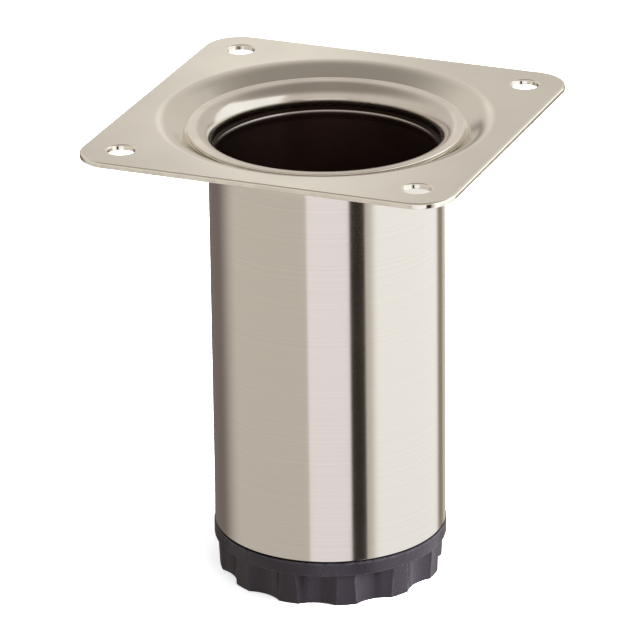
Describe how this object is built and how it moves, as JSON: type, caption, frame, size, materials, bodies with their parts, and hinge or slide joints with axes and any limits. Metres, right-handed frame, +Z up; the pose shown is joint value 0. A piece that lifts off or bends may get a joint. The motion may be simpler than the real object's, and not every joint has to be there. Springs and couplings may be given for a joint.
{
  "type": "furniture leg",
  "caption": "Short round steel furniture leg with a dished square mounting plate and a screw-adjustable levelling foot.",
  "frame": {"origin": "centre of the foot's base, on the floor, on the tube's axis", "axes": "+Z up along the tube towards the mounting plate; X and Y along the plate's sides"},
  "size_m": [0.0826, 0.0826, 0.1025],
  "materials": {
    "tube_steel": "brushed round the tube, satin",
    "plate_steel": "pressed and satin nickel plated, with polished edges",
    "foot_plastic": "moulded, smooth matt",
    "plug_plastic": "moulded, plain",
    "zinc_steel": "bright zinc plated"
  },
  "bodies": {
    "leg": {"leg_tube": "tube_steel", "mounting_plate": "plate_steel", "tube_plug": "plug_plastic", "plug_nut": "zinc_steel"},
    "spindle": {"foot_stud": "zinc_steel"},
    "foot": {"adjustable_foot": "foot_plastic"}
  },
  "joints": [
    {"name": "foot_height", "type": "slide", "parent": "leg", "child": "spindle", "axis": [0, 0, -1], "range_m": [0, 0.015]},
    {"name": "foot_turn", "type": "hinge", "parent": "spindle", "child": "foot", "pos_m": [0, 0, 0], "axis": [0, 0, -1], "range_deg": [0, 3600]}
  ],
  "couplings": [
    {"joint": "foot_height", "follows": "foot_turn", "m_per_rad": 0.0002387}
  ]
}
